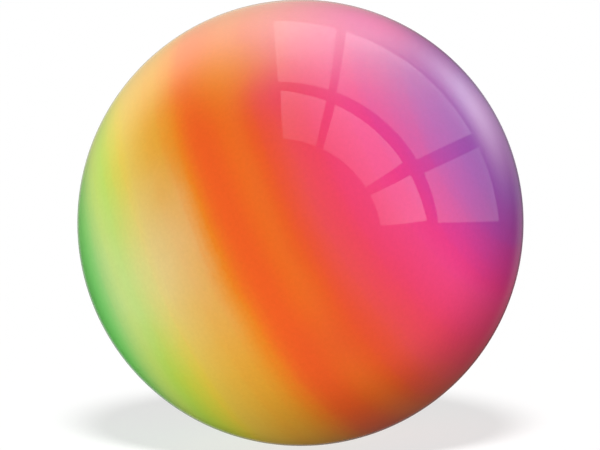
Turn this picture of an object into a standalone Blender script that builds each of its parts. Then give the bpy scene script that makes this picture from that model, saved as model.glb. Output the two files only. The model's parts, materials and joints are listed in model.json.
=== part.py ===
"""A 70 mm juggling ball: a soft vinyl shell with a stoppered filling port and loose ballast inside.

Metres, +Z up, origin at the ball's centre, front towards -Y. Turned pieces are drawn as a profile of
(distance from the axis, height along it) and spun round; the port's pieces hang on one tilted empty.
"""

import math

import bmesh
import bpy
from mathutils import Vector

# Ball
BALL_RADIUS = 0.035
WALL = 0.0027
FIT_GAP = 0.0003  # clearance left between pieces that touch

# The colour bands ring an axis: its violet end rises from +X and swings to the front.
# The filling port is at the other end, the green one, where the ball is held to be sprayed.
BAND_RISE = math.radians(26.0)
BAND_SWING = math.radians(14.5)

# Boss that the mould leaves inside the wall, round the port
BOSS_RADIUS = 0.0078
BOSS_END = 0.0272  # distance of its inner face from the ball's centre
BOSS_FILLET = 0.0018
BOSS_EDGE = 0.0006
LIP_ROUND = 0.0003

# Bush: flange outside, sleeve through the boss, barbed collar inside
FLANGE_RADIUS = 0.0060
FLANGE_EDGE = 0.0011
SLEEVE_RADIUS = 0.0035
COLLAR_RADIUS = 0.0052
COLLAR_LENGTH = 0.0016
BORE_RADIUS = 0.0023
BORE_LEAD = 0.0004
EDGE_BREAK = 0.00015
NICK_RADIUS = 0.0011  # fingernail nick beside the plug's head

# Plug: flush head and a ribbed stem
HEAD_RADIUS = 0.0040
HEAD_UNDERSIDE = 0.0342  # distance from the ball's centre
STEM_RADIUS = 0.0016
STEM_END = 0.0252
RIB_RADIUS = 0.0020
RIB_COUNT = 3
RIB_PITCH = 0.0022
FIRST_RIB = 0.0328

# Loose fill, settled level at the bottom
FILL_DEPTH = 0.0220
FILL_CROWN = 0.0010
FILL_GAP = 0.0004
CLEARANCE_RADIUS = 0.0106  # hollow that the fill leaves round the boss and its fillet
CLEARANCE_END = 0.0235

# Facets
BALL_SIDES = 56
BALL_ARC_STEPS = 28
WALL_ARC_STEPS = 20
FILL_ARC_STEPS = 14
CROWN_STEPS = 6
PORT_SIDES = 40
PLUG_SIDES = 28
FILLET_STEPS = 3
SHARP_ANGLE = math.radians(40.0)
MERGE_DISTANCE = 1e-6

# Paint, from the green pole to the violet one, as shares of the way along the band axis
PAINT_BANDS = {
    "leaf_green": (0.04, (0.14, 0.46, 0.10)),
    "lime": (0.18, (0.50, 0.68, 0.17)),
    "yellow": (0.26, (0.75, 0.62, 0.12)),
    "sand": (0.37, (0.80, 0.43, 0.10)),
    "orange_red": (0.47, (0.85, 0.13, 0.02)),
    "orange": (0.56, (0.84, 0.15, 0.02)),
    "red": (0.66, (0.80, 0.07, 0.06)),
    "pink": (0.79, (0.83, 0.08, 0.22)),
    "magenta": (0.88, (0.66, 0.09, 0.32)),
    "violet": (0.98, (0.32, 0.10, 0.36)),
}
PAINT_ROUGHNESS = 0.16
BUSH_COLOUR = (0.72, 0.74, 0.66)
PLUG_COLOUR = (0.80, 0.80, 0.76)
FILL_COLOUR = (0.55, 0.44, 0.29)


def clear_scene():
    for thing in list(bpy.data.objects):
        bpy.data.objects.remove(thing, do_unlink=True)


def skin_height(distance):
    """Height of the ball's outer skin above its centre, at a distance from the port's axis."""
    return math.sqrt(BALL_RADIUS**2 - distance**2)


def arc(radius, start, end, steps, centre=(0.0, 0.0)):
    """Profile points on a circle; angles are measured from the axis."""
    points = []
    for step in range(steps + 1):
        angle = start + (end - start) * step / steps
        distance = centre[0] + radius * math.sin(angle)
        height = centre[1] + radius * math.cos(angle)
        points.append((0.0 if abs(distance) < MERGE_DISTANCE else distance, height))
    return points


def turned(name, profile, sides, ring=False):
    """A closed solid made by spinning a profile about Z; a ring's profile is a closed loop."""
    shape = bmesh.new()
    points = [shape.verts.new((distance, 0.0, height)) for distance, height in profile]
    pairs = list(zip(points, points[1:]))
    if ring:
        pairs.append((points[-1], points[0]))
    edges = [shape.edges.new(pair) for pair in pairs]
    bmesh.ops.spin(
        shape, geom=points + edges, cent=(0, 0, 0), axis=(0, 0, 1), angle=math.tau, steps=sides
    )
    bmesh.ops.remove_doubles(shape, verts=shape.verts, dist=MERGE_DISTANCE)
    bmesh.ops.recalc_face_normals(shape, faces=shape.faces)
    mesh = bpy.data.meshes.new(name)
    shape.to_mesh(mesh)
    shape.free()
    mesh.shade_smooth()
    mesh.set_sharp_from_angle(angle=SHARP_ANGLE)
    piece = bpy.data.objects.new(name, mesh)
    bpy.context.collection.objects.link(piece)
    return piece


def as_cutter(piece):
    piece.hide_render = True
    piece.display_type = "WIRE"
    return piece


def cut(piece, cutter):
    modifier = piece.modifiers.new(cutter.name, "BOOLEAN")
    modifier.operation = "DIFFERENCE"
    modifier.solver = "EXACT"
    modifier.object = cutter


def finish(piece, colour, roughness):
    """Give a piece its own plain material and return the shader for any further work."""
    material = bpy.data.materials.new(f"{piece.name}_finish")
    material.use_nodes = True
    shader = material.node_tree.nodes["Principled BSDF"]
    shader.inputs["Base Color"].default_value = (*colour, 1.0)
    shader.inputs["Roughness"].default_value = roughness
    shader.inputs["Metallic"].default_value = 0.0
    piece.data.materials.append(material)
    return shader


def spray_bands(shader):
    """Rings of paint that fade into each other along the piece's own Z, green end up."""
    tree = shader.id_data
    place = tree.nodes.new("ShaderNodeTexCoord")
    along = tree.nodes.new("ShaderNodeSeparateXYZ")
    share = tree.nodes.new("ShaderNodeMapRange")
    ramp = tree.nodes.new("ShaderNodeValToRGB")
    share.inputs["From Min"].default_value = BALL_RADIUS
    share.inputs["From Max"].default_value = -BALL_RADIUS
    stops = ramp.color_ramp.elements
    while len(stops) < len(PAINT_BANDS):
        stops.new(0.5)
    for stop, (position, colour) in zip(stops, PAINT_BANDS.values()):
        stop.position = position
        stop.color = (*colour, 1.0)
    tree.links.new(place.outputs["Object"], along.inputs["Vector"])
    tree.links.new(along.outputs["Z"], share.inputs["Value"])
    tree.links.new(share.outputs["Result"], ramp.inputs["Fac"])
    tree.links.new(ramp.outputs["Color"], shader.inputs["Base Color"])


def port_axis():
    """An empty at the ball's centre whose +Z points out through the filling port."""
    violet_pole = Vector(
        (
            math.cos(BAND_RISE) * math.cos(BAND_SWING),
            -math.cos(BAND_RISE) * math.sin(BAND_SWING),
            math.sin(BAND_RISE),
        )
    )
    axis = bpy.data.objects.new("port_axis", None)
    axis.rotation_mode = "QUATERNION"
    axis.rotation_quaternion = (-violet_pole).to_track_quat("Z", "Y")
    bpy.context.collection.objects.link(axis)
    return axis


def flange_underside():
    return skin_height(FLANGE_RADIUS) - FLANGE_EDGE


def make_shell():
    """The hollow ball: inner wall, boss, bore for the sleeve, recess for the flange, outer skin."""
    inner = BALL_RADIUS - WALL
    root = BOSS_RADIUS + BOSS_FILLET
    fillet_centre = (root, math.sqrt((inner - BOSS_FILLET) ** 2 - root**2))
    meets_wall = math.asin(root / (inner - BOSS_FILLET))
    bore = SLEEVE_RADIUS + FIT_GAP
    recess = FLANGE_RADIUS + FIT_GAP
    recess_floor = flange_underside() - FIT_GAP
    lip = recess + LIP_ROUND
    profile = [
        *arc(inner, math.pi, meets_wall, WALL_ARC_STEPS),
        *arc(BOSS_FILLET, meets_wall, -math.pi / 2, FILLET_STEPS, fillet_centre)[1:],
        (BOSS_RADIUS, BOSS_END + BOSS_EDGE),
        (BOSS_RADIUS - BOSS_EDGE, BOSS_END),
        (bore, BOSS_END),
        (bore, recess_floor),
        (recess, recess_floor),
        (recess, skin_height(lip) - LIP_ROUND),
        *arc(BALL_RADIUS, math.asin(lip / BALL_RADIUS), math.pi, BALL_ARC_STEPS),
    ]
    shell = turned("shell", profile, BALL_SIDES)
    spray_bands(finish(shell, PAINT_BANDS["orange"][1], PAINT_ROUGHNESS))
    return shell


def make_bush():
    """The bush: a flange flush with the skin, a sleeve through the boss and a collar behind it."""
    under = flange_underside()
    collar_top = BOSS_END - FIT_GAP
    collar_end = collar_top - COLLAR_LENGTH
    seat = HEAD_UNDERSIDE - FIT_GAP
    pocket = HEAD_RADIUS + FIT_GAP
    outer = FLANGE_RADIUS - EDGE_BREAK
    profile = [
        *arc(BALL_RADIUS, math.asin(pocket / BALL_RADIUS), math.asin(outer / BALL_RADIUS), 4),
        (FLANGE_RADIUS, skin_height(FLANGE_RADIUS) - EDGE_BREAK),
        (FLANGE_RADIUS, under),
        (SLEEVE_RADIUS, under),
        (SLEEVE_RADIUS, collar_top),
        (COLLAR_RADIUS, collar_top),
        (COLLAR_RADIUS, collar_top - COLLAR_LENGTH / 4),
        (SLEEVE_RADIUS, collar_end),
        (BORE_RADIUS + BORE_LEAD, collar_end),
        (BORE_RADIUS, collar_end + BORE_LEAD),
        (BORE_RADIUS, seat - BORE_LEAD),
        (BORE_RADIUS + BORE_LEAD, seat),
        (pocket, seat),
    ]
    bush = turned("port_bush", profile, PORT_SIDES, ring=True)
    finish(bush, BUSH_COLOUR, 0.35)
    return bush


def make_nick():
    """Cutter for the fingernail nick, a small ball sunk in the flange at the edge of the head."""
    nick = as_cutter(turned("nail_nick", arc(NICK_RADIUS, 0.0, math.pi, 8), 16))
    nick.location = (HEAD_RADIUS + NICK_RADIUS / 2, 0.0, HEAD_UNDERSIDE + NICK_RADIUS * 0.8)
    return nick


def make_plug():
    """The stopper: a head that carries on the ball's curve, and a stem with backward-leaning ribs."""
    edge = HEAD_RADIUS - EDGE_BREAK
    profile = arc(BALL_RADIUS, 0.0, math.asin(edge / BALL_RADIUS), 4)
    profile += [
        (HEAD_RADIUS, skin_height(HEAD_RADIUS) - EDGE_BREAK),
        (HEAD_RADIUS, HEAD_UNDERSIDE),
        (STEM_RADIUS, HEAD_UNDERSIDE),
    ]
    for rib in range(RIB_COUNT):
        top = FIRST_RIB - rib * RIB_PITCH
        profile += [
            (STEM_RADIUS, top),
            (RIB_RADIUS, top - RIB_PITCH * 0.12),
            (RIB_RADIUS, top - RIB_PITCH * 0.30),
            (STEM_RADIUS, top - RIB_PITCH * 0.70),
        ]
    tip_centre = (0.0, STEM_END + STEM_RADIUS)
    profile += arc(STEM_RADIUS, math.pi / 2, math.pi, 5, tip_centre)
    plug = turned("port_plug", profile, PLUG_SIDES)
    finish(plug, PLUG_COLOUR, 0.3)
    return plug


def make_fill():
    """The settled fill: a spherical underside just off the wall and a slightly crowned level top."""
    radius = BALL_RADIUS - WALL - FILL_GAP
    level = FILL_DEPTH - radius - FILL_CROWN
    edge = math.sqrt(radius**2 - level**2)
    profile = []
    for step in range(CROWN_STEPS):
        share = step / CROWN_STEPS
        crown = FILL_CROWN * (1.0 + math.cos(math.pi * share)) / 2
        profile.append((edge * share, level + crown))
    profile += arc(radius, math.acos(level / radius), math.pi, FILL_ARC_STEPS)
    fill = turned("ballast_fill", profile, BALL_SIDES)
    finish(fill, FILL_COLOUR, 0.9)
    return fill


def make_clearance():
    """Cutter for the hollow that the fill leaves round the boss and the end of the bush."""
    profile = [
        (0.0, BALL_RADIUS),
        (CLEARANCE_RADIUS, BALL_RADIUS),
        (CLEARANCE_RADIUS, CLEARANCE_END),
        (0.0, CLEARANCE_END),
    ]
    return as_cutter(turned("boss_clearance", profile, PORT_SIDES))


def main():
    clear_scene()
    axis = port_axis()
    shell = make_shell()
    bush = make_bush()
    nick = make_nick()
    plug = make_plug()
    clearance = make_clearance()
    for piece in (shell, bush, nick, plug, clearance):
        piece.parent = axis
    cut(bush, nick)
    cut(make_fill(), clearance)


main()
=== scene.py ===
# Looks of a juggling ball: a glossy vinyl skin airbrushed in rainbow rings, the bush and the stopper of
# its filling port, and the sand inside. Metres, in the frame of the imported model, front towards -Y.
import json
import math

import bmesh
import bpy
import numpy as np
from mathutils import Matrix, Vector


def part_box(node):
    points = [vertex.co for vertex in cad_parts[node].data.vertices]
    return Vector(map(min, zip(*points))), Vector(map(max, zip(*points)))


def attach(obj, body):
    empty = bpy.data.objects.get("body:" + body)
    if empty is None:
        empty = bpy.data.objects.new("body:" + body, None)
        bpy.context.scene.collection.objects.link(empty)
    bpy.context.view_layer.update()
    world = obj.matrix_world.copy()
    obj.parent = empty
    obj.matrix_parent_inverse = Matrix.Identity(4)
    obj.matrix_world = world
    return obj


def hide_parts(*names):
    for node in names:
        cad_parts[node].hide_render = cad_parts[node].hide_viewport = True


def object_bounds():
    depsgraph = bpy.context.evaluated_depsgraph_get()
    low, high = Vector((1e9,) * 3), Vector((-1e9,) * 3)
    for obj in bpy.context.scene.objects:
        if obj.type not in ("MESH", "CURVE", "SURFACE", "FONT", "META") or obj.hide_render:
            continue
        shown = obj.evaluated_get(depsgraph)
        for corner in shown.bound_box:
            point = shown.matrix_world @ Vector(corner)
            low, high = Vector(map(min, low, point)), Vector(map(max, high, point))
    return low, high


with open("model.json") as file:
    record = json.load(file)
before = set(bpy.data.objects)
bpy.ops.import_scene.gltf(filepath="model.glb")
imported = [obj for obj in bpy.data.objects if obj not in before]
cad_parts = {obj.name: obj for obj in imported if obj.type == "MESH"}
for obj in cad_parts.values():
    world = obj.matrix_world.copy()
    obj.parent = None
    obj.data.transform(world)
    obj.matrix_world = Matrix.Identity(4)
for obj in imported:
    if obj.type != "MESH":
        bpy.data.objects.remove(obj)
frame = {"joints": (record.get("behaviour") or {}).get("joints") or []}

CAD_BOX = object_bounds()

# Sizes of the ball, as its construction gives them
SHELL_LOW, SHELL_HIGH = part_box("shell")
BALL_RADIUS = min(map(abs, (*SHELL_LOW, *SHELL_HIGH)))
WALL = 0.0027
FIT_GAP = 0.0003
BOSS_RADIUS = 0.0078
BOSS_END = 0.0272
BOSS_FILLET = 0.0018
BOSS_EDGE = 0.0006
LIP_ROUND = 0.0003
FLANGE_RADIUS = 0.0060
FLANGE_EDGE = 0.0011
SLEEVE_RADIUS = 0.0035
COLLAR_RADIUS = 0.0052
COLLAR_LENGTH = 0.0016
COLLAR_BAND = COLLAR_LENGTH / 4
BORE_RADIUS = 0.0023
BORE_LEAD = 0.0004
EDGE_BREAK = 0.00015
NICK_RADIUS = 0.0011
# The nick's middle, out from the head's edge and up from its underside, in radii of the nick
NICK_ASIDE, NICK_SUNK = 0.5, 0.8
HEAD_RADIUS = 0.0040
HEAD_UNDERSIDE = 0.0342
STEM_RADIUS = 0.0016
STEM_END = 0.0252
RIB_RADIUS = 0.0020
RIB_COUNT = 3
RIB_PITCH = 0.0022
FIRST_RIB = 0.0328
# A rib's crest, the radius of its round and its lower end, as shares of the pitch, and the round's turns
RIB_CREST, RIB_SWELL, RIB_END = 0.21, 0.09, 0.70
RIB_TURNS = (0.2, math.pi - 0.5)
FILL_DEPTH = 0.0220
FILL_CROWN = 0.0010
FILL_GAP = 0.0004
CLEARANCE_RADIUS = 0.0106
CLEARANCE_END = 0.0235
# The sand is worked out from a point inside it; its grain is drawn at random from a fixed seed.
SAND_HEART = np.array([0.006, -0.002, -0.021])
SAND_RELIEF = 0.00022
SAND_SEED = 7

# The port's axis is the one that its stopper pulls along; the colour rings circle the same axis.
PULL_AXIS = next(joint["axis"] for joint in frame["joints"] if joint["name"] == "plug_pull")
PORT_WAY = Vector(PULL_AXIS).normalized()
PORT_TURN = np.array(PORT_WAY.to_track_quat("Z", "Y").to_matrix())
VIOLET_WAY = -PORT_WAY

# Grids: sides round the axis, steps along each stretch of a profile, and passes over the sand's crown
SKIN_SIDES = 256
PORT_SIDES = 224
SAND_SIDES = 220
SAND_RINGS = 120
INNER_STEPS = 80
FILLET_STEPS = 12
LIP_STEPS = 8
OUTER_STEPS = 170
FACE_STEPS = 20
BEVEL_STEPS = 3
POCKET_STEPS = 8
RIB_STEPS = 6
TIP_STEPS = 14
RUN_STEPS = 6
CROWN_PASSES = 6
LEAST_RISE = 1e-6
MERGE_DISTANCE = 1e-7
SHARP_ANGLE = math.radians(35.0)

# The photograph's camera: a long lens a little above the ball's middle
FRAME_WIDTH_PX = 600
BALL_RADIUS_PX = 223.1
BALL_RISE_PX = 2.2
BALL_ASIDE_PX = 0.45
CAMERA_RISE = math.radians(7.0)
CAMERA_DISTANCE = 2.4
SENSOR_WIDTH = 36.0
CAMERA_WAY = Vector((0.0, -math.cos(CAMERA_RISE), math.sin(CAMERA_RISE)))
PICTURE_UP = Vector((0.0, math.sin(CAMERA_RISE), math.cos(CAMERA_RISE)))
PICTURE_RIGHT = Vector((1.0, 0.0, 0.0))

# Paint, from the green pole at the port to the violet one, as shares of the way along the axis
PAINT_RINGS = {
    "leaf_green": (0.08, (0.18, 0.63, 0.12)),
    "spring_green": (0.12, (0.33, 0.63, 0.14)),
    "lime": (0.155, (0.47, 0.66, 0.12)),
    "deep_lime": (0.20, (0.47, 0.64, 0.07)),
    "yellow": (0.265, (0.70, 0.55, 0.05)),
    "gold": (0.29, (0.74, 0.49, 0.06)),
    "sand": (0.35, (0.78, 0.40, 0.04)),
    "amber": (0.395, (0.81, 0.35, 0.03)),
    "tangerine": (0.44, (0.87, 0.24, 0.02)),
    "orange_red": (0.47, (0.90, 0.15, 0.02)),
    "deep_orange": (0.51, (0.89, 0.12, 0.02)),
    "orange": (0.575, (0.86, 0.15, 0.02)),
    "vermilion": (0.625, (0.83, 0.10, 0.03)),
    "coral_red": (0.68, (0.82, 0.08, 0.08)),
    "rose": (0.74, (0.82, 0.06, 0.13)),
    "hot_pink": (0.82, (0.82, 0.06, 0.21)),
    "magenta": (0.86, (0.76, 0.05, 0.24)),
    "purple": (0.92, (0.54, 0.06, 0.32)),
    "violet": (0.975, (0.37, 0.08, 0.42)),
}
# Towards the lower side of the ball the rings are drawn out: the pink ones from a start on, less and less
# again to where that fan ends, and the lime ones from their own start back to the green pole.
FAN_WAY = VIOLET_WAY.cross(VIOLET_WAY.cross(Vector((0.0, 0.0, 1.0)))).normalized()
PINK_FAN, PINK_FAN_START = 0.2, 0.6
PINK_FAN_END, PINK_FAN_FALL = 1.02, 1.3
LIME_FAN, LIME_FAN_START = 0.12, 0.5
# The gun pushes the rings about: size of the blotches, and how far they push as a share of the way
DRIFT_SIZE, DRIFT_PUSH = 0.022, 0.020
WAVER_SIZE, WAVER_PUSH = 0.006, 0.010
SPIN_LINE_SIZE, SPIN_LINE_PUSH = 0.030, 0.016
SPIN_LINE_STRETCH = 25.0
DROPLET_SIZE, DROPLET_PUSH = 0.0007, 0.014
# A painted highlight: a pale patch mixed into the paint on the ball's left, over the yellow rings:
# its direction from the ball's middle, width in ball radii, squash across the rings, how much shows, the
# shares of the way over which that starts, and how ragged its edge is.
HIGHLIGHT_PLACE = (-0.69, -0.71, -0.14)
HIGHLIGHT_WIDTH = 0.35
HIGHLIGHT_SQUASH = 0.3
HIGHLIGHT_SHOW = 0.25
HIGHLIGHT_RINGS = (0.44, 0.40)
HIGHLIGHT_RAGGED = 0.25
# Stray puffs of the gun: direction from the ball's middle, width in ball radii, cover and colour
STRAY_PUFFS = {
    "amber_puff": ((-0.36, -0.56, 0.75), 0.19, 0.80, (0.97, 0.28, 0.01)),
    "pink_puff": ((0.29, -0.19, 0.94), 0.20, 0.75, (0.85, 0.02, 0.31)),
    "vermilion_puff": ((0.20, -0.90, -0.40), 0.21, 0.45, (0.78, 0.08, 0.03)),
    "green_puff": ((-0.93, -0.25, -0.26), 0.22, 0.20, (0.04, 0.43, 0.06)),
    "rose_puff": ((-0.12, -0.73, 0.68), 0.13, 0.30, (0.85, 0.05, 0.17)),
}
PUFF_RAGGED = 0.10
PUFF_EDGE_SIZE = 0.012
# Tint of the painted highlight, depths under the skin at which paint starts and covers, and the paint's
# mottle
HIGHLIGHT_TINT = (0.93, 0.97, 0.76)
PAINT_STARTS, PAINT_FULL = 0.0007, 0.0002
MOTTLE_SIZE, MOTTLE = 0.0006, 0.13

# Bare vinyl and sand: colours, and the size of the clouds or grains that they vary in
BARE_VINYL = (0.72, 0.74, 0.66)
MILKY_SHADE, MILKY_VINYL = (0.66, 0.68, 0.59), (0.76, 0.78, 0.70)
MILKY_CLOUD = 0.004
OVERSPRAY_RADII = (0.0044, 0.0062)
OVERSPRAY_SPECK, OVERSPRAY_RAGGED = 0.0007, 0.0016
OVERSPRAY_EDGE = 0.0002
STOPPER_SHADE, STOPPER_VINYL = (0.74, 0.74, 0.69), (0.80, 0.80, 0.76)
STOPPER_CLOUD = 0.003
LATHE_PITCH = 0.00025
SAND_LIGHT = (0.62, 0.50, 0.34)
SAND_DARK = (0.34, 0.25, 0.15)
SAND_GRAIN = 0.0005

# Gloss: size of its patches, how much the roughness varies in them, and the roughness in the middle
PAINT_GLOSS = (0.009, 0.02, 0.03)
BUSH_SATIN = (0.002, 0.12, 0.36)
STOPPER_SATIN = (0.0015, 0.10, 0.30)
SAND_ROUGH_SPREAD, SAND_ROUGH_LEAST = 0.2, 0.75
SURFACE_IOR = 1.5
# Fine relief: its strength and depth, and the size of its bumps where they are noise
ORANGE_PEEL, ORANGE_PEEL_SIZE = (0.012, 0.00005), 0.0016
BUSH_RELIEF, BUSH_RELIEF_SIZE = (0.10, 0.00003), 0.0003
LATHE_RELIEF = (0.08, 0.00002)
GRAIN_RELIEF = (0.5, 0.0002)
# Noise: layers of detail, plain and fine, and how strong the finer layers are, plain and gritty
PLAIN_DETAIL, FINE_DETAIL = 2.0, 3.0
PLAIN, GRITTY = 0.5, 0.7
# A Mix node's two colours and their mix, among sockets of the same names for numbers and vectors
MIX_FIRST, MIX_SECOND, MIX_RESULT = 6, 7, 2


def arc(radius, start, end, steps, centre=(0.0, 0.0)):
    """Profile points on a circle about a centre: radius sin(angle) out and radius cos(angle) up."""
    angle = np.linspace(start, end, steps + 1)
    return np.stack([centre[0] + radius * np.sin(angle), centre[1] + radius * np.cos(angle)], axis=1)


def run(*corners, steps=RUN_STEPS):
    """Profile points evenly spaced along the straight runs between corners."""
    legs = [np.linspace(a, b, steps, endpoint=False) for a, b in zip(corners, corners[1:])]
    return np.concatenate([*legs, [corners[-1]]])


def skin_height(distance):
    """Height of the outer skin above the ball's centre, at a distance from the port's axis."""
    return math.sqrt(BALL_RADIUS**2 - distance**2)


def spun(profile, sides):
    """A profile carried round an axis: each point circles at its own distance, at its own height."""
    angle = np.linspace(0.0, math.tau, sides, endpoint=False)
    distance = np.maximum(profile[:, :1], 0.0)
    height = np.broadcast_to(profile[:, 1:], (len(profile), sides))
    return np.stack([distance * np.cos(angle), distance * np.sin(angle), height], axis=-1)


def grid_mesh(name, points, ring=False):
    """Quads between neighbours of a grid; columns close round the axis, and on a ring so do the rows."""
    index = np.arange(points.shape[0] * points.shape[1]).reshape(points.shape[:2])
    upper = index if ring else index[:-1]
    lower = np.roll(index, -1, axis=0) if ring else index[1:]
    quads = np.stack([upper, np.roll(upper, -1, axis=1), np.roll(lower, -1, axis=1), lower], axis=-1)
    mesh = bpy.data.meshes.new(name)
    mesh.from_pydata(points.reshape(-1, 3).tolist(), [], quads.reshape(-1, 4).tolist())
    close_and_face_out(mesh)
    mesh.shade_smooth()
    mesh.set_sharp_from_angle(angle=SHARP_ANGLE)
    return mesh


def close_and_face_out(mesh):
    """Merges the points that fall together, at poles and in cut corners, and turns the faces outwards."""
    shape = bmesh.new()
    shape.from_mesh(mesh)
    bmesh.ops.remove_doubles(shape, verts=shape.verts, dist=MERGE_DISTANCE)
    bmesh.ops.recalc_face_normals(shape, faces=shape.faces)
    shape.to_mesh(mesh)
    shape.free()


def place(mesh, material, body, node, slot):
    """Puts a finished mesh in the scene for the construction node that it stands for."""
    piece = bpy.data.objects.new(mesh.name, mesh)
    bpy.context.scene.collection.objects.link(piece)
    mesh.materials.append(material)
    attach(piece, body)
    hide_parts(node)


def flange_underside():
    """Height of the flange's flat underside: its edge's thickness under the skin at its rim."""
    return skin_height(FLANGE_RADIUS) - FLANGE_EDGE


def rainbow_skin():
    """The hollow ball, one profile spun about the port's axis: inner wall, filleted boss, bore, recess
    for the flange, rounded lip, and the outer skin to the violet pole."""
    inner = BALL_RADIUS - WALL
    root = BOSS_RADIUS + BOSS_FILLET
    fillet_centre = (root, math.sqrt((inner - BOSS_FILLET) ** 2 - root**2))
    meets_wall = math.asin(root / (inner - BOSS_FILLET))
    bore = SLEEVE_RADIUS + FIT_GAP
    recess = FLANGE_RADIUS + FIT_GAP
    recess_floor = flange_underside() - FIT_GAP
    lip = recess + LIP_ROUND
    lip_centre = (lip, math.sqrt((BALL_RADIUS - LIP_ROUND) ** 2 - lip**2))
    lip_end = math.asin(lip / (BALL_RADIUS - LIP_ROUND))
    profile = np.concatenate([
        arc(inner, math.pi, meets_wall, INNER_STEPS),
        arc(BOSS_FILLET, meets_wall, -math.pi / 2, FILLET_STEPS, fillet_centre)[1:],
        run((BOSS_RADIUS, BOSS_END + BOSS_EDGE), (BOSS_RADIUS - BOSS_EDGE, BOSS_END), steps=BEVEL_STEPS),
        run((bore, BOSS_END), (bore, recess_floor), (recess, recess_floor)),
        arc(LIP_ROUND, -math.pi / 2, lip_end, LIP_STEPS, lip_centre),
        arc(BALL_RADIUS, lip_end, math.pi, OUTER_STEPS)[1:],
    ])
    return grid_mesh("rainbow_skin", spun(profile, SKIN_SIDES) @ PORT_TURN.T)


def port_ring():
    """The bush, a closed profile spun about the port's axis: flush flange, sleeve, barbed collar, bore
    and pocket for the stopper's head. A fingernail nick dips every point under a small sunk ball."""
    under = flange_underside()
    collar_top = BOSS_END - FIT_GAP
    collar_end = collar_top - COLLAR_LENGTH
    bore_mouth = BORE_RADIUS + BORE_LEAD
    seat = HEAD_UNDERSIDE - FIT_GAP
    pocket = HEAD_RADIUS + FIT_GAP
    brink = skin_height(pocket) - EDGE_BREAK
    rim = skin_height(FLANGE_RADIUS) - EDGE_BREAK
    first, last = (math.asin(r / BALL_RADIUS) for r in (pocket + EDGE_BREAK, FLANGE_RADIUS - EDGE_BREAK))
    profile = np.concatenate([
        arc(BALL_RADIUS, first, last, FACE_STEPS),
        run((FLANGE_RADIUS, rim), (FLANGE_RADIUS, under), (SLEEVE_RADIUS, under)),
        run((SLEEVE_RADIUS, collar_top), (COLLAR_RADIUS, collar_top)),
        run((COLLAR_RADIUS, collar_top - COLLAR_BAND), (SLEEVE_RADIUS, collar_end)),
        run((bore_mouth, collar_end), (BORE_RADIUS, collar_end + BORE_LEAD), steps=BEVEL_STEPS),
        run((BORE_RADIUS, seat - BORE_LEAD), (bore_mouth, seat), steps=BEVEL_STEPS),
        run((pocket, seat), (pocket, brink), steps=POCKET_STEPS),
    ])
    points = spun(profile, PORT_SIDES)
    nick_out = HEAD_RADIUS + NICK_RADIUS * NICK_ASIDE
    nick_height = HEAD_UNDERSIDE + NICK_RADIUS * NICK_SUNK
    reach = NICK_RADIUS**2 - (points[..., 0] - nick_out) ** 2 - points[..., 1] ** 2
    dip = nick_height - np.sqrt(np.maximum(reach, 0.0))
    points[..., 2] = np.where((reach > 0) & (points[..., 2] > dip), dip, points[..., 2])
    return grid_mesh("port_ring", points @ PORT_TURN.T, ring=True)


def port_stopper():
    """The stopper, one profile spun about the port's axis: a head that carries on the ball's curve, its
    broken edge, and a stem with backward-leaning ribs and a round tip."""
    edge = HEAD_RADIUS - EDGE_BREAK
    rim = (HEAD_RADIUS, skin_height(HEAD_RADIUS) - EDGE_BREAK)
    parts = [
        arc(BALL_RADIUS, 0.0, math.asin(edge / BALL_RADIUS), FACE_STEPS),
        run(rim, (HEAD_RADIUS, HEAD_UNDERSIDE), (STEM_RADIUS, HEAD_UNDERSIDE)),
    ]
    for rib in range(RIB_COUNT):
        top = FIRST_RIB - rib * RIB_PITCH
        crest = top - RIB_PITCH * RIB_CREST
        swell = RIB_PITCH * RIB_SWELL
        parts += [
            [(STEM_RADIUS, top)],
            arc(swell, *RIB_TURNS, RIB_STEPS, (RIB_RADIUS - swell, crest)),
            [(STEM_RADIUS, top - RIB_PITCH * RIB_END)],
        ]
    parts.append(arc(STEM_RADIUS, math.pi / 2, math.pi, TIP_STEPS, (0.0, STEM_END + STEM_RADIUS)))
    return grid_mesh("port_stopper", spun(np.concatenate(parts), PORT_SIDES) @ PORT_TURN.T)


def sand_heap():
    """The settled sand: in every direction from a point in its middle the surface lies at the nearest of
    three limits, the crowned level, the ball's inner wall and the hollow round the port's boss, less a
    little grain."""
    wall = BALL_RADIUS - WALL - FILL_GAP
    level = FILL_DEPTH - wall - FILL_CROWN
    edge = math.sqrt(wall**2 - level**2)
    heart = SAND_HEART
    fall, turn = np.meshgrid(
        np.linspace(0.0, math.pi, SAND_RINGS),
        np.linspace(0.0, math.tau, SAND_SIDES, endpoint=False),
        indexing="ij",
    )
    way = np.stack([np.sin(fall) * np.cos(turn), np.sin(fall) * np.sin(turn), np.cos(fall)], axis=-1)
    to_wall = -way @ heart + np.sqrt((way @ heart) ** 2 + wall**2 - heart @ heart)
    rise = np.maximum(way[..., 2], LEAST_RISE)
    to_level = (level - heart[2]) / rise
    for _ in range(CROWN_PASSES):
        spot = heart + np.minimum(to_level, to_wall)[..., None] * way
        share = np.clip(np.hypot(spot[..., 0], spot[..., 1]) / edge, 0.0, 1.0)
        to_level = (level + FILL_CROWN * (1 + np.cos(math.pi * share)) / 2 - heart[2]) / rise
    reach = np.minimum(np.minimum(to_wall, to_level), to_boss_hollow(heart, way))
    grain = np.random.default_rng(SAND_SEED).uniform(0.0, SAND_RELIEF, reach.shape)
    grain[[0, -1]] = 0.0
    return grid_mesh("sand_heap", heart + (reach - grain)[..., None] * way)


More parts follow.
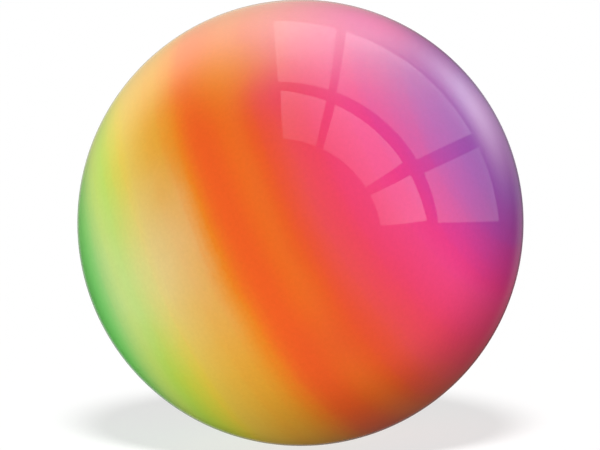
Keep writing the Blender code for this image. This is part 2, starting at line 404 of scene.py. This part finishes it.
def to_boss_hollow(heart, way):
    """Distance from a point, in each direction, to a cylinder that stands on the port's axis and starts
    at CLEARANCE_END; far away where the direction misses it."""
    axis = np.array(PORT_WAY)
    climb = way @ axis
    start = heart @ axis
    with np.errstate(divide="ignore", invalid="ignore"):
        to_end = np.where(climb > 0, (CLEARANCE_END - start) / climb, np.inf)
        off = heart - start * axis
        across = way - climb[..., None] * axis
        a = np.sum(across**2, axis=-1)
        b = across @ off
        c = off @ off - CLEARANCE_RADIUS**2
        root = np.sqrt(b * b - a * c)
        enters, leaves = (-b - root) / a, (-b + root) / a
        hits = np.nan_to_num(np.maximum(enters, to_end), nan=np.inf)
        return np.where((hits < leaves) & (hits > 0), hits, np.inf)


def new_finish(name):
    """A material with its shader; what is the same all over is set on the shader itself."""
    material = bpy.data.materials.new(name)
    material.use_nodes = True
    shader = material.node_tree.nodes["Principled BSDF"]
    shader.inputs["IOR"].default_value = SURFACE_IOR
    return material, material.node_tree, shader


def feed(tree, socket, value):
    """Links a socket to another one's output, or sets its value."""
    if isinstance(value, bpy.types.NodeSocket):
        tree.links.new(value, socket)
    else:
        socket.default_value = value


def node(tree, kind, **sockets):
    """A shader node with its named sockets fed."""
    made = tree.nodes.new(f"ShaderNode{kind}")
    for name, value in sockets.items():
        feed(tree, made.inputs[name.replace("_", " ")], value)
    return made


def calc(tree, operation, *values):
    """One step of arithmetic on the surface."""
    step = tree.nodes.new("ShaderNodeMath")
    step.operation = operation
    for socket, value in zip(step.inputs, values):
        feed(tree, socket, value)
    return step.outputs["Value"]


def vector(tree, operation, *values):
    """One step of vector arithmetic on the surface."""
    step = tree.nodes.new("ShaderNodeVectorMath")
    step.operation = operation
    for socket, value in zip(step.inputs, values):
        feed(tree, socket, value)
    return step


def noise(tree, where, size, detail=PLAIN_DETAIL, roughness=PLAIN):
    """Smooth noise, centred on 0, whose blotches are about a given size across."""
    texture = node(tree, "TexNoise", Vector=where, Scale=1.0 / size, Detail=detail, Roughness=roughness)
    return calc(tree, "SUBTRACT", texture.outputs[0], 0.5)


def blend(tree, share, first, second):
    """Mixes two colours by a share from 0 to 1."""
    mix = tree.nodes.new("ShaderNodeMix")
    mix.data_type = "RGBA"
    feed(tree, mix.inputs["Factor"], share)
    for socket, colour in ((mix.inputs[MIX_FIRST], first), (mix.inputs[MIX_SECOND], second)):
        feed(tree, socket, colour if isinstance(colour, bpy.types.NodeSocket) else (*colour, 1.0))
    return mix.outputs[MIX_RESULT]


def colour_ramp(tree, share, stops):
    """A colour read off a row of stops, each a position and a colour."""
    ramp = node(tree, "ValToRGB", Fac=share)
    ramp.color_ramp.interpolation = "CARDINAL"
    elements = ramp.color_ramp.elements
    while len(elements) < len(stops):
        elements.new(1.0)
    for element, (position, colour) in zip(elements, stops):
        element.position = position
        element.color = (*colour, 1.0)
    return ramp.outputs["Color"]


def ramped(tree, value, low, high):
    """A share that goes straight from 0 to 1 while a value goes from low to high."""
    return node(tree, "MapRange", Value=value, From_Min=low, From_Max=high).outputs["Result"]


def cloud(tree, where, size):
    """Smooth noise about a half, for mixing two colours."""
    return calc(tree, "ADD", noise(tree, where, size), 0.5)


def uneven_gloss(tree, shader, where, size, spread, middle, detail=PLAIN_DETAIL):
    """Roughness that strays from its middle with noise."""
    rough = calc(tree, "MULTIPLY_ADD", noise(tree, where, size, detail), spread, middle)
    tree.links.new(rough, shader.inputs["Roughness"])


def bump(tree, shader, height, strength, depth):
    """Surface relief from a height that runs over about 0 to 1."""
    relief = node(tree, "Bump", Strength=strength, Distance=depth, Height=height)
    tree.links.new(relief.outputs["Normal"], shader.inputs["Normal"])


def from_port_axis(tree, spot):
    """Distance from the port's axis: the length of the spot crossed with the axis."""
    apart = vector(tree, "CROSS_PRODUCT", spot, PORT_WAY).outputs["Vector"]
    return vector(tree, "LENGTH", apart).outputs["Value"]


def ring_share(tree, spot):
    """Place in the row of paints: the height along the axis, with the rings drawn out on the fan's side,
    then pushed about by a slow drift of the gun, its waver, fine lines from spinning the ball under it, and
    droplets."""
    along = vector(tree, "DOT_PRODUCT", spot, VIOLET_WAY).outputs["Value"]
    lines = vector(tree, "SCALE", VIOLET_WAY)
    feed(tree, lines.inputs["Scale"], calc(tree, "MULTIPLY", along, SPIN_LINE_STRETCH))
    stretched = vector(tree, "ADD", spot, lines.outputs["Vector"]).outputs["Vector"]
    share = calc(tree, "MULTIPLY_ADD", along, 0.5 / BALL_RADIUS, 0.5)
    aside = vector(tree, "DOT_PRODUCT", spot, FAN_WAY).outputs["Value"]
    rising = calc(tree, "MAXIMUM", calc(tree, "SUBTRACT", share, PINK_FAN_START), 0.0)
    falling = calc(tree, "MULTIPLY_ADD", share, -PINK_FAN_FALL, PINK_FAN_FALL * PINK_FAN_END)
    pink = calc(tree, "MINIMUM", rising, falling)
    lime = calc(tree, "MINIMUM", calc(tree, "SUBTRACT", share, LIME_FAN_START), 0.0)
    fanned = calc(tree, "MULTIPLY_ADD", lime, LIME_FAN / PINK_FAN, pink)
    fan = calc(tree, "MULTIPLY", calc(tree, "MULTIPLY", aside, fanned), -PINK_FAN / BALL_RADIUS)
    share = calc(tree, "ADD", share, fan)
    share = calc(tree, "MULTIPLY_ADD", noise(tree, spot, DRIFT_SIZE), DRIFT_PUSH, share)
    share = calc(tree, "MULTIPLY_ADD", noise(tree, spot, WAVER_SIZE, FINE_DETAIL), WAVER_PUSH, share)
    share = calc(tree, "MULTIPLY_ADD", noise(tree, stretched, SPIN_LINE_SIZE), SPIN_LINE_PUSH, share)
    droplets = noise(tree, spot, DROPLET_SIZE, roughness=GRITTY)
    return calc(tree, "MULTIPLY_ADD", droplets, DROPLET_PUSH, share)


def puff(tree, spot, place, width, squash=0.0, ragged=0.0):
    """Cover of one puff of the gun: a bell of the distance from its place on a ball of radius 1, drawn out
    across the rings by squashing that way, with a ragged edge."""
    outward = vector(tree, "NORMALIZE", spot).outputs["Vector"]
    away = vector(tree, "SUBTRACT", outward, place).outputs["Vector"]
    across = vector(tree, "SCALE", VIOLET_WAY)
    along = vector(tree, "DOT_PRODUCT", away, VIOLET_WAY).outputs["Value"]
    feed(tree, across.inputs["Scale"], calc(tree, "MULTIPLY", along, squash))
    off = vector(tree, "DISTANCE", away, across.outputs["Vector"]).outputs["Value"]
    rough = calc(tree, "MULTIPLY_ADD", noise(tree, spot, PUFF_EDGE_SIZE, FINE_DETAIL), ragged, off)
    squared = calc(tree, "POWER", calc(tree, "DIVIDE", rough, width), 2.0)
    return calc(tree, "EXPONENT", calc(tree, "MULTIPLY", squared, -1.0))


def painted_highlight(tree, spot, share):
    """How much pale painted highlight is mixed in: a ragged puff's worth round its place, up to the orange.
    """
    bell = puff(tree, spot, HIGHLIGHT_PLACE, HIGHLIGHT_WIDTH, HIGHLIGHT_SQUASH, HIGHLIGHT_RAGGED)
    on_yellows = ramped(tree, share, *HIGHLIGHT_RINGS)
    return calc(tree, "MULTIPLY", calc(tree, "MULTIPLY", bell, on_yellows), HIGHLIGHT_SHOW)


def sprayed_rings(tree, spot):
    """The paint's colour: rings, with a pale painted highlight over the yellows, and stray puffs over them.
    """
    share = ring_share(tree, spot)
    rings = colour_ramp(tree, share, list(PAINT_RINGS.values()))
    # A pale painted highlight is mixed into the rings' colour here.
    paint = blend(tree, painted_highlight(tree, spot, share), rings, HIGHLIGHT_TINT)
    for place, width, cover, colour in STRAY_PUFFS.values():
        covered = calc(tree, "MULTIPLY", puff(tree, spot, place, width, ragged=PUFF_RAGGED), cover)
        paint = blend(tree, covered, paint, colour)
    return paint


def airbrushed_vinyl():
    """Glossy sprayed vinyl outside and bare vinyl inside, by the distance from the ball's middle, with a
    mottle in the paint and a faint orange peel in the gloss."""
    material, tree, shader = new_finish("airbrushed_vinyl")
    spot = node(tree, "TexCoord").outputs["Object"]
    depth = vector(tree, "LENGTH", spot).outputs["Value"]
    painted = ramped(tree, depth, BALL_RADIUS - PAINT_STARTS, BALL_RADIUS - PAINT_FULL)
    specks = noise(tree, spot, MOTTLE_SIZE, FINE_DETAIL, GRITTY)
    mottle = calc(tree, "MULTIPLY_ADD", specks, MOTTLE, 1.0)
    paint = vector(tree, "SCALE", sprayed_rings(tree, spot))
    feed(tree, paint.inputs["Scale"], mottle)
    tree.links.new(blend(tree, painted, BARE_VINYL, paint.outputs["Vector"]), shader.inputs["Base Color"])
    uneven_gloss(tree, shader, spot, *PAINT_GLOSS, detail=FINE_DETAIL)
    bump(tree, shader, noise(tree, spot, ORANGE_PEEL_SIZE), *ORANGE_PEEL)
    return material


def bare_vinyl():
    """Milky unpainted vinyl of the bush, with green overspray that thins out inwards from its rim and down
    the flange's edge."""
    material, tree, shader = new_finish("natural_vinyl")
    spot = node(tree, "TexCoord").outputs["Object"]
    height = vector(tree, "DOT_PRODUCT", spot, PORT_WAY).outputs["Value"]
    radius = from_port_axis(tree, spot)
    specks = noise(tree, spot, OVERSPRAY_SPECK, FINE_DETAIL)
    ragged = calc(tree, "MULTIPLY_ADD", specks, OVERSPRAY_RAGGED, radius)
    outward = ramped(tree, ragged, *OVERSPRAY_RADII)
    exposed = ramped(tree, height, flange_underside(), skin_height(FLANGE_RADIUS) - OVERSPRAY_EDGE)
    spray = calc(tree, "MULTIPLY", outward, exposed)
    milky = blend(tree, cloud(tree, spot, MILKY_CLOUD), MILKY_SHADE, MILKY_VINYL)
    green = PAINT_RINGS["leaf_green"][1]
    tree.links.new(blend(tree, spray, milky, green), shader.inputs["Base Color"])
    uneven_gloss(tree, shader, spot, *BUSH_SATIN)
    bump(tree, shader, noise(tree, spot, BUSH_RELIEF_SIZE), *BUSH_RELIEF)
    return material


def stopper_vinyl():
    """Satin white vinyl with faint lathe-fine rings: a sine of the distance from its axis."""
    material, tree, shader = new_finish("plug_vinyl")
    spot = node(tree, "TexCoord").outputs["Object"]
    radius = from_port_axis(tree, spot)
    rings = calc(tree, "SINE", calc(tree, "MULTIPLY", radius, math.tau / LATHE_PITCH))
    tint = blend(tree, cloud(tree, spot, STOPPER_CLOUD), STOPPER_SHADE, STOPPER_VINYL)
    tree.links.new(tint, shader.inputs["Base Color"])
    uneven_gloss(tree, shader, spot, *STOPPER_SATIN)
    bump(tree, shader, calc(tree, "MULTIPLY_ADD", rings, 0.5, 0.5), *LATHE_RELIEF)
    return material


def loose_sand():
    """Dry sand: pale and dark grains about half a millimetre across, rough and dull."""
    material, tree, shader = new_finish("loose_sand")
    spot = node(tree, "TexCoord").outputs["Object"]
    grains = node(tree, "TexVoronoi", Vector=spot, Scale=1.0 / SAND_GRAIN)
    speck = node(tree, "SeparateColor", Color=grains.outputs["Color"]).outputs["Red"]
    tree.links.new(blend(tree, speck, SAND_DARK, SAND_LIGHT), shader.inputs["Base Color"])
    rough = calc(tree, "MULTIPLY_ADD", speck, SAND_ROUGH_SPREAD, SAND_ROUGH_LEAST)
    tree.links.new(rough, shader.inputs["Roughness"])
    bump(tree, shader, grains.outputs["Distance"], *GRAIN_RELIEF)
    return material


def studio_camera():
    """The photograph's view, aimed a touch below and left of the ball's middle."""
    focal_px = BALL_RADIUS_PX / math.tan(math.asin(BALL_RADIUS / CAMERA_DISTANCE))
    camera = bpy.data.objects.new("camera", bpy.data.cameras.new("camera"))
    camera.data.sensor_width = SENSOR_WIDTH
    camera.data.lens = focal_px * SENSOR_WIDTH / FRAME_WIDTH_PX
    aside = PICTURE_UP * BALL_RISE_PX + PICTURE_RIGHT * BALL_ASIDE_PX
    camera.location = CAMERA_WAY * CAMERA_DISTANCE - aside * (CAMERA_DISTANCE / focal_px)
    camera.rotation_mode = "QUATERNION"
    camera.rotation_quaternion = (-CAMERA_WAY).to_track_quat("-Z", "Y")
    bpy.context.scene.collection.objects.link(camera)
    bpy.context.scene.camera = camera


# The set: a pale table that only the camera sees, lit by a sun of its own, and soft lamps round the ball,
# some of them under the table. The sun and the lamps are placed by degrees round from the front and degrees
# up, and a lamp's share is the part of full light that it gives.
FLOOR_REACH = 9.0
FLOOR_PALE = 0.13
FLOOR_GLOW = 0.74
FLOOR_SUN = (0.0, 53.5)
FLOOR_SUN_WIDTH = math.radians(12.0)
LAMP_DISTANCE = 1.5
LAMP_SIZE = (1.2, 0.7)
SOFTBOXES = {
    "front_softbox": (-5, 25, 0.77),
    "left_softbox": (-100, -20, 1.05),
    "under_softbox": (155, -90, 0.40),
    "right_back_softbox": (130, 10, 1.12),
    "left_back_softbox": (-125, 75, 0.45),
}
# A snooted spot from the front right leaves the ball's lower right edge dark: where it comes from, its
# share, its distance and source, and the middle, the fully lit part and the edge of its pool of light, in
# ball radii.
SNOOT_WAY = (45, -10)
SNOOT_SHARE = 0.5
SNOOT_DISTANCE = 0.5
SNOOT_SOURCE = 0.01
SNOOT_MIDDLE = (-0.65, 0.18)
SNOOT_POOL = (0.83, 1.02)


def way_to(azimuth, elevation):
    """Direction from the ball: degrees round from the front towards the right, and degrees up."""
    a, e = math.radians(azimuth), math.radians(elevation)
    return Vector((math.sin(a) * math.cos(e), -math.cos(a) * math.cos(e), math.sin(e)))


def light_table():
    """A wide pale table under the ball. The lamps shine through it, so it neither shades nor tints the
    ball. It shows by a glow of its own, and by the light of its sun, which the ball's shadow takes away."""
    corners = np.array([(-1, -1), (1, -1), (1, 1), (-1, 1)]) * FLOOR_REACH
    mesh = bpy.data.meshes.new("light_table")
    mesh.from_pydata([(x, y, CAD_BOX[0].z) for x, y in corners], [], [(0, 1, 2, 3)])
    table = bpy.data.objects.new("light_table", mesh)
    bpy.context.scene.collection.objects.link(table)
    mesh.materials.append(table_sheet())
    for ray in ("diffuse", "glossy", "shadow"):
        setattr(table, f"visible_{ray}", False)
    return table


def table_sheet():
    """Matt sheet that glows for the camera, and for mirrored and transmitted rays, but lights nothing."""
    material = bpy.data.materials.new("table_sheet")
    material.use_nodes = True
    tree = material.node_tree
    tree.nodes.remove(tree.nodes["Principled BSDF"])
    ray = node(tree, "LightPath").outputs
    seen = calc(tree, "MAXIMUM", ray["Is Camera Ray"], ray["Is Glossy Ray"])
    seen = calc(tree, "MAXIMUM", seen, ray["Is Transmission Ray"])
    matt = node(tree, "BsdfDiffuse", Color=(FLOOR_PALE, FLOOR_PALE, FLOOR_PALE, 1.0))
    glow = node(tree, "Emission", Strength=calc(tree, "MULTIPLY", seen, FLOOR_GLOW))
    both = tree.nodes.new("ShaderNodeAddShader")
    tree.links.new(matt.outputs["BSDF"], both.inputs[0])
    tree.links.new(glow.outputs["Emission"], both.inputs[1])
    tree.links.new(both.outputs["Shader"], tree.nodes["Material Output"].inputs["Surface"])
    return material


def white_surround():
    """A white backdrop past the table's edge, for the camera alone: the lamps do all the lighting."""
    world = bpy.data.worlds.new("white_surround")
    bpy.context.scene.world = world
    world.use_nodes = True
    world.node_tree.nodes["Background"].inputs["Color"].default_value = (1.0, 1.0, 1.0, 1.0)
    world.cycles_visibility.diffuse = False
    world.cycles_visibility.glossy = False


def lamp_object(data, spot, aim=(0.0, 0.0, 0.0)):
    """A lamp at a spot, facing the ball or another aim, out of the camera's view and of the gloss."""
    lamp = bpy.data.objects.new(data.name, data)
    lamp.location = spot
    lamp.rotation_mode = "QUATERNION"
    lamp.rotation_quaternion = (Vector(aim) - spot).to_track_quat("-Z", "Y")
    lamp.visible_camera = False
    lamp.visible_glossy = False
    bpy.context.scene.collection.objects.link(lamp)
    return lamp


def studio_lamps(table):
    """Softboxes and a snoot that light everything but the table, and a sun that lights the table alone. A
    softbox's energy is its share times pi squared times its distance squared, and the sun's is pi times
    what the table's glow leaves to make white, over the table's paleness and the sun's height."""
    table_only = bpy.data.collections.new("table_only")
    table_only.objects.link(table)
    all_but_table = bpy.data.collections.new("all_but_table")
    all_but_table.objects.link(table)
    all_but_table.collection_objects[0].light_linking.link_state = "EXCLUDE"
    for name, (azimuth, elevation, share) in SOFTBOXES.items():
        data = bpy.data.lights.new(name, "AREA")
        data.shape = "RECTANGLE"
        data.size, data.size_y = LAMP_SIZE
        data.energy = share * (math.pi * LAMP_DISTANCE) ** 2
        lamp = lamp_object(data, way_to(azimuth, elevation) * LAMP_DISTANCE)
        lamp.light_linking.receiver_collection = all_but_table
    snoot(all_but_table)
    sun = bpy.data.lights.new("table_sun", "SUN")
    sun.angle = FLOOR_SUN_WIDTH
    way = way_to(*FLOOR_SUN)
    sun.energy = math.pi * (1.0 - FLOOR_GLOW) / FLOOR_PALE / way.z
    lamp_object(sun, way * LAMP_DISTANCE).light_linking.receiver_collection = table_only


def snoot(lit):
    """A narrow spot whose pool of light has a soft edge that runs across the ball. Its energy is its share
    times the square of two pi times its distance."""
    way = way_to(*SNOOT_WAY)
    across = way_to(SNOOT_WAY[0] + 90, 0)
    aim = BALL_RADIUS * (SNOOT_MIDDLE[0] * across + SNOOT_MIDDLE[1] * way.cross(across))
    data = bpy.data.lights.new("snoot", "SPOT")
    data.energy = SNOOT_SHARE * (math.tau * SNOOT_DISTANCE) ** 2
    data.spot_size = 2 * math.atan(SNOOT_POOL[1] * BALL_RADIUS / SNOOT_DISTANCE)
    data.spot_blend = 1 - (SNOOT_POOL[0] / SNOOT_POOL[1]) ** 2
    data.shadow_soft_size = SNOOT_SOURCE
    lamp_object(data, way * SNOOT_DISTANCE, aim).light_linking.receiver_collection = lit


# What the gloss mirrors, by where it shows on the ball: distance from the middle of the picture of the
# ball as a share of its radius, and turn in degrees from the right.
CARD_REACH = 0.7
PANE_REACH = 0.9
PANE_STEPS = 24
SOFT_STEPS = 60
# The window's rows: how far out its inner and outer edges lie in the middle and how far they bow out from
# there, and for each pane the turns of its inner corners, of its outer corners, and its glow at both edges.
WINDOW_ROWS = (
    ((0.33, 0.05), (0.53, 0.07), (
        ((101.5, 78.5), (98.5, 78.0), (0.8, 1.65)),
        ((73.0, 28.5), (73.5, 30.5), (0.95, 1.85)),
        ((21.5, -2.0), (23.5, 1.0), (0.95, 2.1)),
    )),
    ((0.59, 0.05), (0.86, 0.055), (
        ((99.0, 78.0), (97.5, 79.5), (1.3, 0.65)),
        ((74.5, 28.5), (76.5, 27.5), (1.3, 1.05)),
        ((22.0, 0.0), (23.0, 0.5), (1.55, 0.65)),
    )),
)
WINDOW_MIDDLE = 42.0
WINDOW_HALF_TURN = 57.0
# The soft cards: how far out the middle lies and how wide the bell is there, the middle's turn and how wide
# the bell is round it, the glow in the middle, and the tint. Past the reach, in widths, there is no card.
WHITE = (1.0, 1.0, 1.0)
SOFT_REACH = 2.2
LAST_SHARE = 0.999
SOFT_CARDS = {
    "top_card": (0.75, 0.14, 75, 35, 1.95, WHITE),
    "crown_card": (0.82, 0.13, 95, 20, 2.1, WHITE),
    "bright_card": (0.88, 0.09, 68, 15, 1.25, WHITE),
    "top_left_card": (0.90, 0.10, 125, 40, 2.2, (1.0, 0.9, 0.6)),
    "right_card": (0.92, 0.05, 35, 18, 2.3, (0.97, 0.98, 1.0)),
    "low_card": (0.94, 0.09, 300, 30, 0.1, WHITE),
    "left_rim_card": (0.999, 0.006, 210, 70, 0.4, WHITE),
    "right_rim_card": (0.985, 0.02, 5, 30, 0.2, WHITE),
}


def mirrored(share, turn, reach):
    """Where a thing must stand to show at a spot of the ball's picture: the line of sight through that
    spot, bounced off the skin and followed for a reach."""
    camera = np.array(CAMERA_WAY) * CAMERA_DISTANCE
    spread = share * math.tan(math.asin(BALL_RADIUS / CAMERA_DISTANCE))
    sight = (
        -np.array(CAMERA_WAY)
        + (spread * np.cos(turn))[..., None] * np.array(PICTURE_RIGHT)
        + (spread * np.sin(turn))[..., None] * np.array(PICTURE_UP)
    )
    sight /= np.linalg.norm(sight, axis=-1, keepdims=True)
    near = -sight @ camera
    far = near - np.sqrt(np.maximum(near**2 - CAMERA_DISTANCE**2 + BALL_RADIUS**2, 0.0))
    spot = camera + far[..., None] * sight
    normal = spot / BALL_RADIUS
    bounced = sight - 2 * np.sum(sight * normal, axis=-1, keepdims=True) * normal
    return spot + reach * bounced


def card_light(name, see_through, tint=WHITE):
    """Light of a card, as strong as its mesh's glow says; a see-through one adds to what is behind it."""
    material = bpy.data.materials.new(name)
    material.use_nodes = True
    tree = material.node_tree
    tree.nodes.remove(tree.nodes["Principled BSDF"])
    glow = tree.nodes.new("ShaderNodeAttribute")
    glow.attribute_name = "glow"
    light = node(tree, "Emission", Color=(*tint, 1.0), Strength=glow.outputs["Fac"])
    surface = light.outputs["Emission"]
    if see_through:
        clear = node(tree, "BsdfTransparent")
        both = tree.nodes.new("ShaderNodeAddShader")
        tree.links.new(surface, both.inputs[0])
        tree.links.new(clear.outputs["BSDF"], both.inputs[1])
        surface = both.outputs["Shader"]
    tree.links.new(surface, tree.nodes["Material Output"].inputs["Surface"])
    return material


def card(name, points, glow, material):
    """A lit card on a grid of points, seen by the gloss alone."""
    index = np.arange(points.shape[0] * points.shape[1]).reshape(points.shape[:2])
    quads = np.stack([index[:-1, :-1], index[:-1, 1:], index[1:, 1:], index[1:, :-1]], axis=-1)
    mesh = bpy.data.meshes.new(name)
    mesh.from_pydata(points.reshape(-1, 3).tolist(), [], quads.reshape(-1, 4).tolist())
    strength = mesh.attributes.new("glow", "FLOAT", "POINT")
    strength.data.foreach_set("value", glow.astype(np.float32).ravel())
    mesh.materials.append(material)
    shown = bpy.data.objects.new(name, mesh)
    bpy.context.scene.collection.objects.link(shown)
    for ray in ("camera", "diffuse", "transmission", "shadow", "volume_scatter"):
        setattr(shown, f"visible_{ray}", False)


def studio_window():
    """A window of two rows of three panes: each pane is a patch between two bowed edges and two turns."""
    material = card_light("window_light", see_through=False)
    v, u = np.meshgrid(np.linspace(0, 1, PANE_STEPS), np.linspace(0, 1, PANE_STEPS), indexing="ij")
    for row, (inner, outer, panes) in enumerate(WINDOW_ROWS):
        for column, (inner_turns, outer_turns, glows) in enumerate(panes):
            first, last = (a * (1 - v) + b * v for a, b in zip(inner_turns, outer_turns))
            turn = first * (1 - u) + last * u
            bow = ((turn - WINDOW_MIDDLE) / WINDOW_HALF_TURN) ** 2
            low, high = inner[0] + inner[1] * bow, outer[0] + outer[1] * bow
            points = mirrored(low + (high - low) * v, np.radians(turn), PANE_REACH)
            glow = glows[0] * (1 - v) + glows[1] * v
            card(f"pane_{row}_{column}", points, glow, material)


def soft_cards():
    """Soft-edged cards: glow falls off as a bell from the middle, both outwards and round."""
    for name, (share, share_width, turn, turn_width, peak, tint) in SOFT_CARDS.items():
        reach = np.linspace(-SOFT_REACH, SOFT_REACH, SOFT_STEPS)
        shares = np.clip(share + share_width * reach, 0.0, LAST_SHARE)
        turns = turn + turn_width * reach
        r, t = np.meshgrid(shares, turns, indexing="ij")
        bell = np.exp(-(((r - share) / share_width) ** 2) - ((t - turn) / turn_width) ** 2)
        edge = np.exp(-SOFT_REACH**2)
        glow = peak * np.maximum(bell - edge, 0.0) / (1 - edge)
        material = card_light(f"{name}_light", see_through=True, tint=tint)
        card(name, mirrored(r, np.radians(t), CARD_REACH), glow, material)


place(rainbow_skin(), airbrushed_vinyl(), "ball", "shell", "airbrushed_vinyl")
place(port_ring(), bare_vinyl(), "ball", "port_bush", "natural_vinyl")
place(port_stopper(), stopper_vinyl(), "plug", "port_plug", "plug_vinyl")
place(sand_heap(), loose_sand(), "fill", "ballast_fill", "loose_sand")

studio_camera()
white_surround()
studio_lamps(light_table())
studio_window()
soft_cards()
bpy.context.scene.view_settings.view_transform = "Standard"
